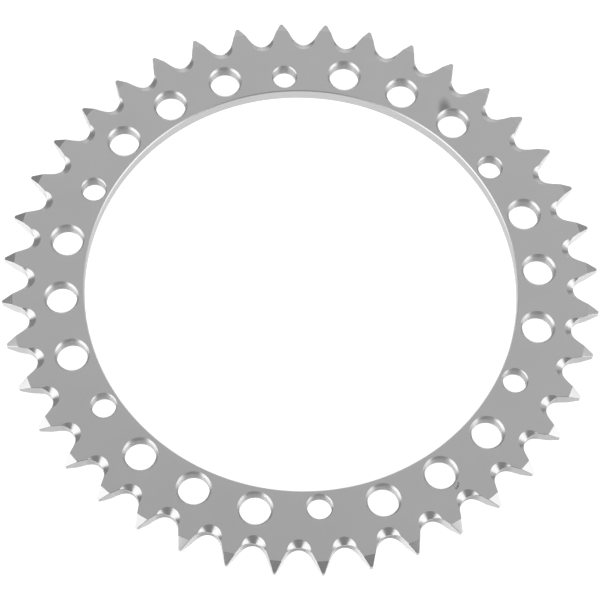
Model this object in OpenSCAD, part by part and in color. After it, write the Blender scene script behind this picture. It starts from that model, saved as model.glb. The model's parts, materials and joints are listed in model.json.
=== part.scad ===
// Rear chain sprocket of a motorcycle: one flat ring, machined from a single aluminium plate.
// The ring lies in the XY plane. Z is the wheel axle's axis, z = 0 is the face that meets the hub,
// and one hub bolt hole lies on +Y. The teeth are cut in a set-up of their own, so that the tooth
// beside that hole stands a quarter of a degree off it.

/* [Chain] */
// Number of teeth
teeth = 40; // [39:1:44]
// Angle from the first hub bolt hole round to the middle of the tooth beside it
tooth_phase = -0.25; // [-4:0.25:4]
// Chain pitch, from roller centre to roller centre
chain_pitch = 15.875; // [15.6:0.005:16.4]
// Diameter of the chain's rollers
roller_d = 10.16; // [9.8:0.02:10.4]
// How much larger the radius of a roller's seat is than the roller's
seat_clearance = 0.07; // [0.03:0.01:0.12]
// Angle of the arc that a roller seats on
seat_angle = 124; // [118:1:128]

/* [Plate] */
// Thickness of the plate
plate_t = 5.8; // [5:0.1:6.5]
// Diameter of the bore that centres the ring on the hub
bore_d = 152.4; // [150:0.1:154]
// Width of the broken edge round the bore
bore_chamfer = 0.35; // [0.1:0.05:0.6]

/* [Teeth] */
// How far the tips stand outside the pitch circle
tip_rise = 3.85; // [3:0.05:4]
// How far inside the tips their bevel starts
tip_bevel_w = 3.8; // [2:0.1:4]
// Thickness left at the tips between the two bevels
tip_t = 2.1; // [1.2:0.1:4]

/* [Hub bolts] */
// Number of hub bolt holes
bolt_count = 6; // [4:1:8]
// Diameter of the circle that the hub bolts stand on
bolt_circle_d = 164.3; // [163:0.1:168]
// Diameter of a hub bolt hole
bolt_hole_d = 8.5; // [8.2:0.1:9]
// Width of the chamfer round a hub bolt hole
bolt_chamfer = 0.4; // [0.2:0.05:1]

/* [Lightening holes] */
// Lightening holes between each bolt hole and the next
holes_per_gap = 3; // [1:1:3]
// Diameter of the circle that the lightening holes stand on
hole_circle_d = 168.3; // [167:0.1:170]
// Diameter of a lightening hole
hole_d = 10.8; // [8:0.1:12]
// Width of the chamfer round a lightening hole
hole_chamfer = 0.75; // [0.3:0.05:1.2]

/* [Mud reliefs] */
// Diameter of a relief cone at the face
relief_d = 8.2; // [7:0.1:10]
// How far inside the pitch circle the relief cones are centred
relief_inset = 3.65; // [2.5:0.05:4]
// Slope of a relief cone's wall, from the face
relief_slope = 30; // [22:1:40]

/* [Hidden] */
$fn = 96;
mid_z = plate_t / 2;
pitch_r = chain_pitch / 2 / sin(180 / teeth);
tip_r = pitch_r + tip_rise;
seat_r = roller_d / 2 + seat_clearance;
first_gap = tooth_phase + 180 / teeth;
bolt_pitch = 360 / bolt_count;
hole_pitch = bolt_pitch / (holes_per_gap + 1);
// How far a cutting tool runs past the surface that it opens on
past = 1;
// How far inside the roller seat's arc the flanks start, so that the two shapes cross clearly
overlap = 0.01;
aluminium = [0.66, 0.66, 0.66];

// Repeats a shape drawn on the +Y side, evenly round the axle
module round_axle(count, start = 0) {
    for (i = [0 : count - 1]) rotate(start + i * 360 / count) children();
}

// Repeats a tool that cuts into the hub face, also into the outer face
module both_faces() {
    children();
    translate([0, 0, plate_t]) mirror([0, 0, 1]) children();
}

// The turned blank: bore with broken edges, and a rim that two bevels thin towards the tips
module blank() {
    bore_r = bore_d / 2;
    rotate_extrude($fn = 360) polygon([
        [bore_r + bore_chamfer, 0],
        [tip_r - tip_bevel_w, 0],
        [tip_r, mid_z - tip_t / 2],
        [tip_r, mid_z + tip_t / 2],
        [tip_r - tip_bevel_w, plate_t],
        [bore_r + bore_chamfer, plate_t],
        [bore_r, plate_t - bore_chamfer],
        [bore_r, bore_chamfer]
    ]);
}

// The gap between two teeth: a round roller seat that opens into two straight flanks
module tooth_gap() {
    half = seat_angle / 2;
    reach = tip_rise + seat_r;
    touch_x = (seat_r - overlap) * sin(half);
    touch_y = -(seat_r - overlap) * cos(half);
    mouth_x = touch_x + (reach - touch_y) / tan(half);
    translate([0, pitch_r, -past]) {
        linear_extrude(plate_t + 2 * past) {
            circle(r = seat_r);
            polygon([[-touch_x, touch_y], [touch_x, touch_y], [mouth_x, reach], [-mouth_x, reach]]);
        }
    }
}

// A shallow cone sunk at a tooth root, so that mud is pushed out sideways
module mud_relief() {
    relief_r = relief_d / 2;
    widen = past / tan(relief_slope);
    depth = relief_r * tan(relief_slope);
    translate([0, pitch_r - relief_inset, -past])
        cylinder(h = depth + past, r1 = relief_r + widen, r2 = 0);
}

// A round hole through the plate at a distance from the axle, chamfered on both faces
module chamfered_hole(from_axle, d, chamfer) {
    translate([0, from_axle, 0]) {
        translate([0, 0, -past]) cylinder(h = plate_t + 2 * past, d = d);
        both_faces() translate([0, 0, -past])
            cylinder(h = chamfer + past, r1 = d / 2 + chamfer + past, r2 = d / 2);
    }
}

module sprocket_ring() {
    color(aluminium) difference() {
        blank();
        round_axle(teeth, first_gap) tooth_gap();
        both_faces() round_axle(teeth, first_gap) mud_relief();
        round_axle(bolt_count) chamfered_hole(bolt_circle_d / 2, bolt_hole_d, bolt_chamfer);
        for (i = [1 : holes_per_gap])
            round_axle(bolt_count, i * hole_pitch)
                chamfered_hole(hole_circle_d / 2, hole_d, hole_chamfer);
    }
}

sprocket_ring();
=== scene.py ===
"""Looks of a motorcycle rear sprocket: one machined aluminium ring, lying flat on a pale floor."""

import json
import math

import bpy
import numpy as np
from mathutils import Matrix, Vector
from mathutils.geometry import delaunay_2d_cdt


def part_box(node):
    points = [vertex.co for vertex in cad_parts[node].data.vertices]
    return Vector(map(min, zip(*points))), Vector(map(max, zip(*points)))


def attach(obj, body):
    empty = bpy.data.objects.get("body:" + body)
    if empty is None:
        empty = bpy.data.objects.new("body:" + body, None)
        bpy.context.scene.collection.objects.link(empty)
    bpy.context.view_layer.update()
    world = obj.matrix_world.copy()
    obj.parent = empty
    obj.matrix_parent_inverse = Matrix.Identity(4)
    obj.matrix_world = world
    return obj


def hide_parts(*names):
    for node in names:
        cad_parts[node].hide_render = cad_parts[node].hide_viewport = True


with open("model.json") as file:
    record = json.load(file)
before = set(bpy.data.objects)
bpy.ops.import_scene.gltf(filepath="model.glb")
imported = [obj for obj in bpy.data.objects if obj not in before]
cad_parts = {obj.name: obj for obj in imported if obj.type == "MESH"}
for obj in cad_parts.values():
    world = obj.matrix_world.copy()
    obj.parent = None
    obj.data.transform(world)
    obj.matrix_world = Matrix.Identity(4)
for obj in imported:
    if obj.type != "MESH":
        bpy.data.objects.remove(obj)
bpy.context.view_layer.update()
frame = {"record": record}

MM = 0.001
LOW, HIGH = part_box("sprocket_ring")
MOUNTS = {mount["name"]: mount["dims"] for mount in frame["record"]["mounts"]}

# The ring's shape in millimetres. Sizes that the CAD or its record gives are read from there.
PLATE_T = (HIGH.z - LOW.z) / MM
TIP_R = min(HIGH.x, HIGH.y, -LOW.x, -LOW.y) / MM
BORE_R = MOUNTS["centre_bore"]["r_mm"]
BORE_CHAMFER = 0.35

# Bolt holes and lightening holes share one grid, and every fourth place on it is a bolt hole
GRID_HOLES, BOLT_EVERY = 24, 4
BOLT_CIRCLE_R = MOUNTS["hub_bolts"]["pcd_mm"] / 2
BOLT_R = MOUNTS["hub_bolts"]["hole_r_mm"]
BOLT_CHAMFER = 0.4
HOLE_CIRCLE_R, HOLE_R, HOLE_CHAMFER = 84.15, 5.4, 0.75

TEETH = 40
TOOTH_PHASE = -0.25
CHAIN_PITCH = 15.875
GAP = math.tau / TEETH
FIRST_GAP = math.radians(90 + TOOTH_PHASE) + GAP / 2
PITCH_R = CHAIN_PITCH / 2 / math.sin(GAP / 2)
SEAT_R = 5.15
SEAT_HALF = math.radians(62)
CORNER_R = 0.25
TIP_RISE, TIP_BEVEL_W, TIP_T = 3.85, 3.8, 2.1
BEVEL_R = PITCH_R + TIP_RISE - TIP_BEVEL_W
BEVEL_SLOPE = (PLATE_T - TIP_T) / 2 / TIP_BEVEL_W
RELIEF_AT, RELIEF_R, RELIEF_SLOPE = PITCH_R - 3.65, 4.1, math.tan(math.radians(30))

# Every machined edge is broken by a small flat, and every crease runs through a small radius
BREAK = 0.12
SOFT = 0.06

# The camera: where it stands, as seen from the ring's centre, its lens and its framing
CAM_DISTANCE = 0.8271
CAM_ELEVATION = math.radians(67.05)
CAM_AZIMUTH = math.radians(-8.148)
CAM_ROLL = math.radians(-4.1755)
CAM_LENS = 140.31
CAM_SHIFT = (-0.00163, -0.01645)
CAM_AIM = Vector((0, 0, LOW.z - 0.18 * MM))


# ---------------------------------------------------------------- tooth gap, as a 2-D shape

# Right half of a gap that points along +Y: a round seat, which a straight flank leaves at a point.
# The flank has one direction along it, away from the axle, and one out of the metal.
SEAT = np.array([0.0, PITCH_R])
FLANK = np.array([math.cos(SEAT_HALF), math.sin(SEAT_HALF)])
FLANK_OUT = np.array([-math.sin(SEAT_HALF), math.cos(SEAT_HALF)])
TOUCH = SEAT - SEAT_R * FLANK_OUT


def distance(xy, centre=(0, 0)):
    """Distance of each point from a centre, which is the axle unless another is given."""
    return np.hypot(*(xy - centre).T)


def corner_centre():
    """Centre of the tip's corner radius: as far inside the flank as inside the tip circle."""
    start = TOUCH - CORNER_R * FLANK_OUT
    along = start @ FLANK
    return start + FLANK * (math.sqrt(along**2 - start @ start + (TIP_R - CORNER_R) ** 2) - along)


CORNER = corner_centre()
TIP_OUT = CORNER / np.linalg.norm(CORNER)


def fold(xy):
    """Every point, turned into the frame of its nearest tooth gap's right half: (side, height)."""
    turn = np.arctan2(xy[:, 1], xy[:, 0]) - FIRST_GAP
    turn = (turn + GAP / 2) % GAP - GAP / 2
    reach = distance(xy)
    return np.stack([np.abs(reach * np.sin(turn)), reach * np.cos(turn)], 1)


def rim_distance(xy):
    """How far inside the toothed outline each point is."""
    p = fold(xy)
    to_flank = -(p - TOUCH) @ FLANK_OUT
    to_seat = distance(p, SEAT) - SEAT_R
    inside = np.where((p - TOUCH) @ FLANK < 0, to_seat, to_flank)
    inside = np.minimum(inside, TIP_R - distance(p))
    q = p - CORNER
    past_tip = TIP_OUT[0] * q[:, 1] - TIP_OUT[1] * q[:, 0] > 0
    past_flank = q[:, 0] * FLANK_OUT[1] - q[:, 1] * FLANK_OUT[0] > 0
    return np.where(past_tip & past_flank, CORNER_R - distance(q), inside)


def holes():
    """Centre, radius and chamfer of each hole on the ring's grid, the bolt holes among them."""
    for i in range(GRID_HOLES):
        at, r, chamfer = HOLE_CIRCLE_R, HOLE_R, HOLE_CHAMFER
        if i % BOLT_EVERY == 0:
            at, r, chamfer = BOLT_CIRCLE_R, BOLT_R, BOLT_CHAMFER
        turn = math.pi / 2 + i * math.tau / GRID_HOLES
        yield np.array([at * math.cos(turn), at * math.sin(turn)]), r, chamfer


def room(xy):
    """Distance from each point to the nearest wall, positive in the metal."""
    near = np.minimum(rim_distance(xy), distance(xy) - BORE_R)
    for centre, r, _ in holes():
        near = np.minimum(near, distance(xy, centre) - r)
    return near


# ---------------------------------------------------------------- height of the machined face


def cut(inside, slope):
    """Depth of a sloped cut at a distance inside its edge, with the crease run through a radius."""
    blend = slope * np.clip(inside + SOFT, 0, None) ** 2 / (4 * SOFT)
    return np.where(inside > SOFT, slope * inside, blend)


def from_relief(xy):
    """Distance of each point from the axis of its nearest mud relief."""
    return distance(fold(xy), (0, RELIEF_AT))


def depth(xy):
    """How deep the machined face lies under the plate's own face at each point."""
    reach = distance(xy)
    deep = cut(BREAK - rim_distance(xy), 1)
    deep += cut(reach - BEVEL_R, BEVEL_SLOPE)
    deep += cut(RELIEF_R - from_relief(xy), RELIEF_SLOPE)
    deep += cut(BORE_R + BORE_CHAMFER - reach, 1)
    for centre, r, chamfer in holes():
        deep += cut(r + chamfer - distance(xy, centre), 1)
    return deep


def gradient(field, xy, step=0.002):
    """The slope of a field at each point."""
    along = [field(xy + d) - field(xy - d) for d in (np.array([step, 0]), np.array([0, step]))]
    return np.stack(along, 1) / (2 * step)


# ---------------------------------------------------------------- loops that the mesh follows


def arc(centre, r, start, end, steps):
    """Points along an arc."""
    turn = np.linspace(start, end, steps + 1)
    return np.array(centre) + r * np.stack([np.cos(turn), np.sin(turn)], 1)


def gap_side(inset):
    """Right half of a gap's outline, from the root to the middle of the tip, inset into the metal."""
    root = -math.pi / 2
    tip_start, tip_middle = math.atan2(TIP_OUT[1], TIP_OUT[0]), math.pi / 2 - GAP / 2
    seat = arc(SEAT, SEAT_R + inset, root, root + SEAT_HALF, 10)
    corner = arc(CORNER, CORNER_R - inset, root + SEAT_HALF + math.pi, tip_start, 4)
    tip = arc((0, 0), TIP_R - inset, tip_start, tip_middle, 2)
    flank = np.linspace(seat[-1], corner[0], 8)
    return np.concatenate([seat, flank[1:-1], corner, tip[1:]])


def turned(points, angle):
    """Points drawn with the gap pointing along +Y, turned round the axle to point at an angle."""
    c, s = math.cos(angle - math.pi / 2), math.sin(angle - math.pi / 2)
    return points @ np.array([[c, s], [-s, c]])


def outline(inset):
    """The whole toothed outline, inset into the metal."""
    right = gap_side(inset)
    gap = np.concatenate([right[::-1], (right * (-1, 1))[1:-1]])
    return np.concatenate([turned(gap, FIRST_GAP + k * GAP) for k in range(TEETH)])


def circle(centre, r, steps):
    """A closed circle of points."""
    return arc(centre, r, 0, math.tau, steps)[:-1]


def closed_loops():
    """Every closed loop that the mesh's edges follow: walls, both sides of creases, and one more
    in the middle of the bevel."""
    for inset in (0, BREAK - SOFT, BREAK + SOFT):
        yield outline(inset)
    for r in (0, BORE_CHAMFER - SOFT, BORE_CHAMFER + SOFT):
        yield circle((0, 0), BORE_R + r, 360)
    for r in (BEVEL_R - SOFT, BEVEL_R + SOFT, BEVEL_R + 2):
        yield circle((0, 0), r, 720)
    for centre, r, chamfer in holes():
        for out in (0, chamfer - SOFT, chamfer + SOFT):
            yield circle(centre, r + out, 64)


def relief_arcs():
    """Open arcs round each mud relief: two along its crease and two down its slope.

    Each spans enough degrees to either side of the root to cross the gap's outline."""
    for r, half in ((RELIEF_R + SOFT, 110), (RELIEF_R - SOFT, 110), (3.1, 95), (2.2, 70)):
        half = math.radians(half)
        one = arc((0, RELIEF_AT), r, -math.pi / 2 - half, -math.pi / 2 + half, 32)
        for k in range(TEETH):
            yield turned(one, FIRST_GAP + k * GAP)


def triangulate():
    """Points and triangles of the plate seen from above, with holes, gaps and bore left open."""
    points, edges = [], []
    for loop in closed_loops():
        first, n = len(points), len(loop)
        points.extend(loop.tolist())
        edges.extend((first + i, first + (i + 1) % n) for i in range(n))
    for line in relief_arcs():
        first = len(points)
        points.extend(line.tolist())
        edges.extend((first + i, first + i + 1) for i in range(len(line) - 1))
    points = [Vector(p) for p in points]
    merged_within = 1e-5
    found, _, triangles, *_ = delaunay_2d_cdt(points, edges, [], 0, merged_within, False)
    xy = np.array([tuple(p) for p in found])
    triangles = np.array([tuple(t) for t in triangles])
    kept = triangles[room(xy[triangles].mean(1)) > 0]
    used, kept = np.unique(kept, return_inverse=True)
    return xy[used], facing_up(xy[used], kept.reshape(-1, 3))


def facing_up(xy, triangles):
    """The triangles, all with their corners counterclockwise."""
    a, b, c = (xy[triangles[:, i]] for i in range(3))
    ab, ac = b - a, c - a
    down = ab[:, 0] * ac[:, 1] - ab[:, 1] * ac[:, 0] < 0
    triangles[down] = triangles[down][:, ::-1]
    return triangles


# ---------------------------------------------------------------- what the tools left where

FACE, BEVEL, RELIEF, CHAMFER, FLANK_WALL, HOLE_WALL, BORE = range(7)


def cut_by(xy):
    """Which tool left the plate's surface at each point, and how far from the tool's axis it is."""
    reach = distance(xy)
    zones = np.full(len(xy), FACE)
    zones[(reach > BEVEL_R - SOFT) | (rim_distance(xy) < BREAK + SOFT)] = BEVEL
    zones[from_relief(xy) < RELIEF_R + SOFT] = RELIEF
    feed = np.where(zones == RELIEF, from_relief(xy), reach)
    zones[reach < BORE_R + BORE_CHAMFER + SOFT] = CHAMFER
    for centre, r, chamfer in holes():
        from_hole = distance(xy, centre)
        near = from_hole < r + chamfer + SOFT
        zones[near] = CHAMFER
        feed = np.where(near, from_hole, feed)
    return zones, feed


def face_zones(xy, top, rim):
    """The zone of each face of the mesh: the upper face's, the lower face's and the walls'."""
    flat, _ = cut_by(xy[top].mean(1))
    reach = distance(xy[rim].mean(1))
    bore_end, holes_end = BORE_R + 0.5, HOLE_CIRCLE_R + HOLE_R + 1
    walls = np.select([reach < bore_end, reach < holes_end], [BORE, HOLE_WALL], FLANK_WALL)
    return np.concatenate([flat, flat, walls]).astype(np.int32)


def corner_feeds(xy, top, wall_heights):
    """The tool's feed at each corner of the mesh, which on a wall runs along the axle.

    Corners of the two faces are nudged into their own triangle, to take the feed of its own cut."""
    corners = xy[top]
    nudged = corners + 0.02 * (corners.mean(1, keepdims=True) - corners)
    _, feed = cut_by(nudged.reshape(-1, 2))
    return np.concatenate([feed, feed.reshape(-1, 3)[:, ::-1].ravel(), wall_heights.ravel()])


# ---------------------------------------------------------------- the ring's mesh


def unit(v):
    """Vectors scaled to length one."""
    return v / np.linalg.norm(v, axis=1, keepdims=True)


def boundary(triangles):
    """Directed edges that only one triangle has, so that the metal lies on their left."""
    edges = np.concatenate([triangles[:, [0, 1]], triangles[:, [1, 2]], triangles[:, [2, 0]]])
    twins = {tuple(e) for e in edges[:, ::-1].tolist()}
    return np.array([e for e in edges.tolist() if tuple(e) not in twins])


def corner_normals(xy, top, walls):
    """The exact normal at each corner of the upper face, the lower face and the walls."""
    up = unit(np.column_stack([gradient(depth, xy), np.ones(len(xy))]))
    down = up * (1, 1, -1)
    away = unit(np.column_stack([-gradient(room, xy), np.zeros(len(xy))]))
    parts = (up[top], down[top[:, ::-1]], away[walls % len(xy)])
    return np.concatenate([part.reshape(-1, 3) for part in parts])


def make_ring():
    """The ring, both faces cut alike, as one closed mesh with exact normals."""
    xy, top = triangulate()
    rim = boundary(top)
    n = len(xy)
    deep = depth(xy)
    high = np.column_stack([xy, PLATE_T - deep])
    low = np.column_stack([xy, deep])
    verts = np.concatenate([high, low]) * MM + (0, 0, LOW.z)
    bottom = top[:, ::-1] + n
    walls = np.column_stack([rim[:, 1], rim[:, 0], rim[:, 0] + n, rim[:, 1] + n])

    mesh = bpy.data.meshes.new("ring")
    mesh.from_pydata(verts.tolist(), [], top.tolist() + bottom.tolist() + walls.tolist())
    mesh.polygons.foreach_set("material_index", face_zones(xy, top, rim))
    feed = mesh.attributes.new("feed", "FLOAT", "CORNER")
    feed.data.foreach_set("value", corner_feeds(xy, top, verts[walls, 2] / MM))
    mesh.shade_smooth()
    mesh.normals_split_custom_set(corner_normals(xy, top, walls).tolist())
    ring = bpy.data.objects.new("ring", mesh)
    bpy.context.scene.collection.objects.link(ring)
    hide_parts("sprocket_ring")
    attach(ring, "root")
    return ring


# ---------------------------------------------------------------- finish, and painted shade at the roots of the gaps


def add(tree, kind, sockets=(), **settings):
    """A new node. A socket takes a plain value or another node's output."""
    node = tree.nodes.new("ShaderNode" + kind)
    for name, value in settings.items():
        setattr(node, name, value)
    for name, value in dict(sockets).items():
        plug(tree, node, name, value)
    return node


def plug(tree, node, name, value):
    """Sets one socket of a node, or links another node's output to it."""
    if isinstance(value, bpy.types.NodeSocket):
        tree.links.new(value, node.inputs[name])
    else:
        node.inputs[name].default_value = value


def noise(tree, size, detail=2.0, stretch=(1, 1, 1)):
    """Noise with patches so many millimetres across, drawn out by a stretch along each axis."""
    place = add(tree, "TexCoord").outputs["Object"]
    scale = [1 / (size * MM * s) for s in stretch]
    place = add(tree, "Mapping", {"Vector": place, "Scale": scale}).outputs[0]
    return add(tree, "TexNoise", {"Vector": place, "Scale": 1.0, "Detail": detail}).outputs[0]


def turned_lines(tree, pitch):
    """Lines that a tool leaves as it feeds, so many millimetres apart."""
    feed = add(tree, "Attribute", attribute_name="feed").outputs["Fac"]
    lines = {"W": feed, "Scale": 1 / pitch, "Detail": 1.0}
    return add(tree, "TexNoise", lines, noise_dimensions="1D").outputs[0]


def between(tree, fac, low, high):
    """Noise spread over a range of values."""
    sockets = {"Value": fac, "From Min": 0.3, "From Max": 0.7, "To Min": low, "To Max": high}
    return add(tree, "MapRange", sockets).outputs[0]


def times(tree, a, b):
    """Two values multiplied."""
    return add(tree, "Math", {0: a, 1: b}, operation="MULTIPLY").outputs[0]


def smear(tree, at, size):
    """A soft smear on the outer face, 1 at its middle and 0 outside."""
    place = add(tree, "TexCoord").outputs["Object"]
    scale = [1 / (s * MM) for s in size]
    middle = [-a / s for a, s in zip(at, size)]
    place = add(tree, "Mapping", {"Vector": place, "Scale": scale, "Location": middle}).outputs[0]
    far = add(tree, "VectorMath", {0: place}, operation="LENGTH").outputs["Value"]
    sockets = {"Value": far, "From Min": 0.25, "From Max": 1.0, "To Min": 1.0, "To Max": 0.0}
    return add(tree, "MapRange", sockets, interpolation_type="SMOOTHSTEP").outputs[0]


def metal(name, grey, roughness, marks, relief, spread=0.04, grime=()):
    """Bare aluminium: faint clouds in its grey, and the tool's marks in its shine and relief.

    The marks give their output for a node tree, and their relief is in microns."""
    material = bpy.data.materials.new(name)
    material.use_nodes = True
    tree = material.node_tree
    shader = tree.nodes["Principled BSDF"]
    shader.inputs["Metallic"].default_value = 1.0
    lines = marks(tree)
    value = between(tree, noise(tree, 16), grey * 0.985, grey * 1.015)
    value = times(tree, value, between(tree, lines, 0.98, 1.02))
    for at, size, left in grime:
        kept = add(tree, "MapRange", {"Value": smear(tree, at, size), "To Min": 1.0, "To Max": left})
        value = times(tree, value, kept.outputs[0])
    colour = {"Red": value, "Green": value, "Blue": value}
    plug(tree, shader, "Base Color", add(tree, "CombineColor", colour).outputs[0])
    plug(tree, shader, "Roughness", between(tree, lines, roughness - spread, roughness + spread))
    bump = {"Height": lines, "Distance": relief * 1e-6, "Strength": 1.0}
    plug(tree, shader, "Normal", add(tree, "Bump", bump).outputs[0])
    return material


def upright_streaks(material, amount):
    """Draws a wall's reflections out upright, as the marks of an end mill's side do."""
    tree = material.node_tree
    shader = tree.nodes["Principled BSDF"]
    shader.inputs["Anisotropic"].default_value = amount
    plug(tree, shader, "Tangent", add(tree, "CombineXYZ", {"Z": 1.0}).outputs[0])
    return material


def painted_root_shade(material, kept, height=2.55):
    """Painted shade: darkens the walls of each tooth gap over some height, down to a part of their
    grey at the root, as the shade deep in a gap would.

    The height is in millimetres, away from the axle."""
    tree = material.node_tree
    shader = tree.nodes["Principled BSDF"]
    colour = shader.inputs["Base Color"].links[0].from_socket
    place = add(tree, "TexCoord").outputs["Object"]
    level = add(tree, "VectorMath", {0: place, 1: (1, 1, 0)}, operation="MULTIPLY").outputs[0]
    reach = add(tree, "VectorMath", {0: level}, operation="LENGTH").outputs["Value"]
    root, clear = (PITCH_R - SEAT_R) * MM, (PITCH_R - SEAT_R + height) * MM
    sockets = {"Value": reach, "From Min": root, "From Max": clear, "To Min": kept, "To Max": 1.0}
    shade = add(tree, "MapRange", sockets).outputs[0]
    shaded = add(tree, "VectorMath", {0: colour, 1: shade}, operation="MULTIPLY").outputs[0]
    plug(tree, shader, "Base Color", shaded)
    return material


# Marks that the ring has picked up: place and size in millimetres, and what they leave of the grey
GRIME = [
    ((57.2, 65.0, 5.8), (3.2, 6.5, 1), 0.52),
    ((47.7, -76.9, 5.8), (0.5, 0.8, 1), 0.5),
    ((47.4, -77.9, 5.8), (0.6, 0.7, 1), 0.35),
    ((46.8, -78.6, 5.8), (0.6, 0.6, 1), 0.45),
]


def finishes():
    """The finish of each zone, in the zones' order: its grey, roughness, marks and their relief."""
    yield metal("satin face", 0.72, 0.35, lambda tree: noise(tree, 0.22, 3), 2.5, 0.06, GRIME)
    for name in ("turned bevel", "cut relief"):
        yield metal(name, 0.72, 0.25, lambda tree: turned_lines(tree, 0.25), 0.7)
    yield metal("cut chamfer", 0.8, 0.32, lambda tree: turned_lines(tree, 0.12), 0.5)
    milled = metal("milled flank", 0.82, 0.6, lambda tree: noise(tree, 0.3, stretch=(1, 1, 20)), 2.5)
    # The milled flank's grey carries painted shade, darkest at the root of each gap.
    yield upright_streaks(painted_root_shade(milled, 0.66), 0.9)
    drilled = metal("drilled wall", 0.74, 0.62, lambda tree: turned_lines(tree, 0.2), 1.0)
    yield upright_streaks(drilled, 1.0)
    yield metal("bored wall", 0.53, 0.4, lambda tree: turned_lines(tree, 0.3), 1.5)


# ---------------------------------------------------------------- studio


def make_camera():
    """A long lens above the ring, with the small roll and shift of the photograph's framing."""
    data = bpy.data.cameras.new("camera")
    data.lens = CAM_LENS
    data.sensor_width = 36
    data.shift_x, data.shift_y = CAM_SHIFT
    data.clip_start, data.clip_end = 0.05, 20
    camera = bpy.data.objects.new("camera", data)
    bpy.context.scene.collection.objects.link(camera)
    side, up = math.cos(CAM_ELEVATION), math.sin(CAM_ELEVATION)
    back = Vector((math.sin(CAM_AZIMUTH) * side, -math.cos(CAM_AZIMUTH) * side, up))
    camera.location = CAM_AIM + back * CAM_DISTANCE
    look = (-back).to_track_quat("-Z", "Y")
    camera.rotation_mode = "QUATERNION"
    camera.rotation_quaternion = look @ Matrix.Rotation(-CAM_ROLL, 3, "Z").to_quaternion()
    bpy.context.scene.camera = camera


def make_floor():
    """A plain pale floor, a hair below the ring."""
    half = 3.0
    level = LOW.z - 0.02 * MM
    mesh = bpy.data.meshes.new("floor")
    corners = [(x * half, y * half, level) for x, y in ((-1, -1), (1, -1), (1, 1), (-1, 1))]
    mesh.from_pydata(corners, [], [(0, 1, 2, 3)])
    floor = bpy.data.objects.new("floor", mesh)
    bpy.context.scene.collection.objects.link(floor)
    material = bpy.data.materials.new("floor")
    material.use_nodes = True
    shader = material.node_tree.nodes["Principled BSDF"]
    shader.inputs["Base Color"].default_value = (0.5, 0.5, 0.5, 1)
    shader.inputs["Roughness"].default_value = 0.9
    shader.inputs["Emission Color"].default_value = (1, 1, 1, 1)
    shader.inputs["Emission Strength"].default_value = 0.85
    mesh.materials.append(material)


def make_world(grey):
    """Even grey surroundings."""
    world = bpy.data.worlds.new("studio")
    bpy.context.scene.world = world
    world.use_nodes = True
    world.node_tree.nodes["Background"].inputs["Color"].default_value = (grey, grey, grey, 1)


def panel(name, azimuth, elevation, spread, away, radiance, upright=False):
    """A rectangular soft light that faces the ring, or stands upright and faces its axle.

    Its angles are in degrees. Azimuth is from the camera's side, round by the ring's left, and
    spread is how far it reaches to each side and up and down, as seen from the ring."""
    data = bpy.data.lights.new(name, "AREA")
    data.shape = "RECTANGLE"
    data.size, data.size_y = (2 * away * math.tan(math.radians(half)) for half in spread)
    data.energy = radiance * math.pi * data.size * data.size_y
    light = bpy.data.objects.new(name, data)
    bpy.context.scene.collection.objects.link(light)
    turn, rise = CAM_AZIMUTH - math.radians(azimuth), math.radians(elevation)
    level = Vector((math.sin(turn), -math.cos(turn), 0))
    back = level * math.cos(rise) + Vector((0, 0, math.sin(rise)))
    light.location = back * away
    light.rotation_mode = "QUATERNION"
    light.rotation_quaternion = (-level if upright else -back).to_track_quat("-Z", "Y")


def make_lights():
    """A soft panel on each side, each with a wider and fainter glow round it, and one behind."""
    panel("left", 63.5, 40, (24.5, 36), 1.5, 0.8, upright=True)
    panel("left glow", 63.5, 40, (31, 42), 1.6, 0.35, upright=True)
    panel("right", -76.5, 43, (17, 31), 1.5, 0.85, upright=True)
    panel("right glow", -84, 40, (30, 42), 1.6, 0.3, upright=True)
    panel("back", -174, 42, (38, 40), 2.0, 0.30)


make_camera()
make_floor()
make_world(0.26)
make_lights()
bpy.context.scene.view_settings.view_transform = "Standard"

ring = make_ring()
for finish in finishes():
    ring.data.materials.append(finish)
